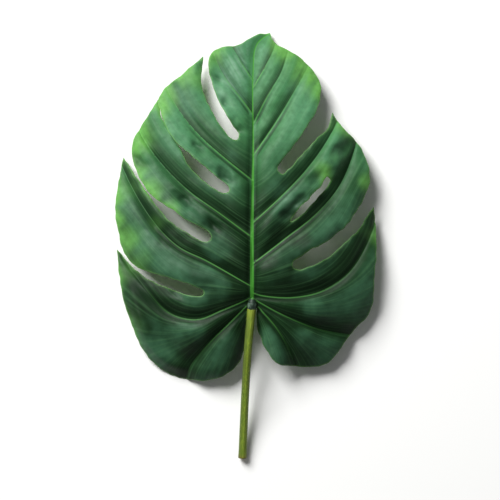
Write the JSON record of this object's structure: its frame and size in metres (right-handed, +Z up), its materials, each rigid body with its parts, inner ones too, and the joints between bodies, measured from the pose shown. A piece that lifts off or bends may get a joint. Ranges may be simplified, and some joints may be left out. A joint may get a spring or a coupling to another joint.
{
  "type": "monstera leaf",
  "caption": "Picked monstera leaf lying flat: a broad slit blade, shallowly domed, with sunken veins, a dark knee and a cut round stalk.",
  "frame": {"origin": "middle of the leaf's plan, on the surface that it lies on", "axes": "+Z up out of the upper face, +Y from the cut stalk end towards the leaf tip, +X to the right as seen from above"},
  "size_m": [0.2464, 0.4034, 0.0483],
  "materials": {
    "blade": "waxy satin, deep green with yellow-green rims",
    "knee": "dull dark green",
    "stalk": "smooth satin olive green"
  },
  "bodies": {
    "root": {"leaf_blade": "blade", "stalk_knee": "knee", "leaf_stalk": "stalk"}
  },
  "joints": []
}
